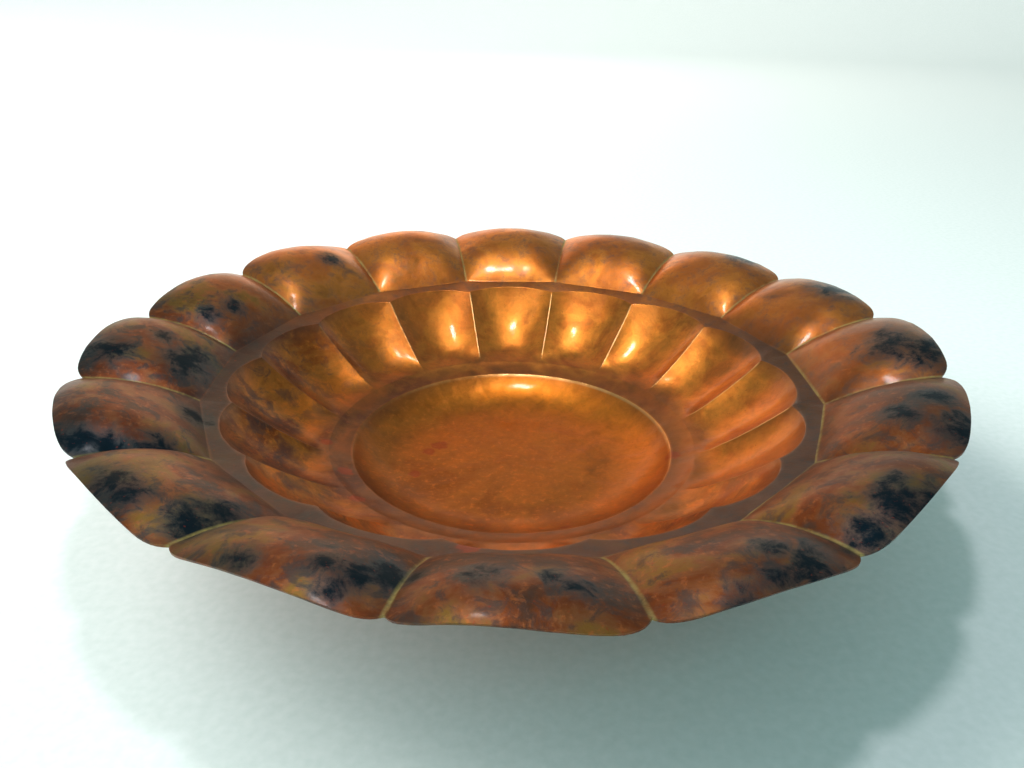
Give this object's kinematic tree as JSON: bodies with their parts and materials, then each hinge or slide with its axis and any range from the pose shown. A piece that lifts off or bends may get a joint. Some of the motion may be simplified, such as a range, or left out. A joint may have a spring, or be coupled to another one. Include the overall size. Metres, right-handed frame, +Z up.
{
  "type": "hammered copper bowl",
  "caption": "Wide round bowl raised from sheet copper, with a sunk round well, concave flutes on its wall and a rim of pillow-shaped petals, on a soldered foot ring.",
  "frame": {"origin": "centre of the foot ring, on the surface that the bowl stands on", "axes": "+Z up, along the bowl's axis; +Y runs to the middle of a petal, and petals are counted clockwise from it, seen from above"},
  "size_m": [0.4104, 0.4119, 0.0798],
  "materials": {
    "aged_copper": "hand-hammered copper, satin, with brown and blue-black patina",
    "foot_copper": "copper strip, dull, handled and oxidised",
    "tin_solder": "grey tin solder, dull"
  },
  "bodies": {
    "root": {"bowl_shell": "aged_copper", "foot_ring": "foot_copper", "solder_fillet": "tin_solder"}
  },
  "joints": []
}
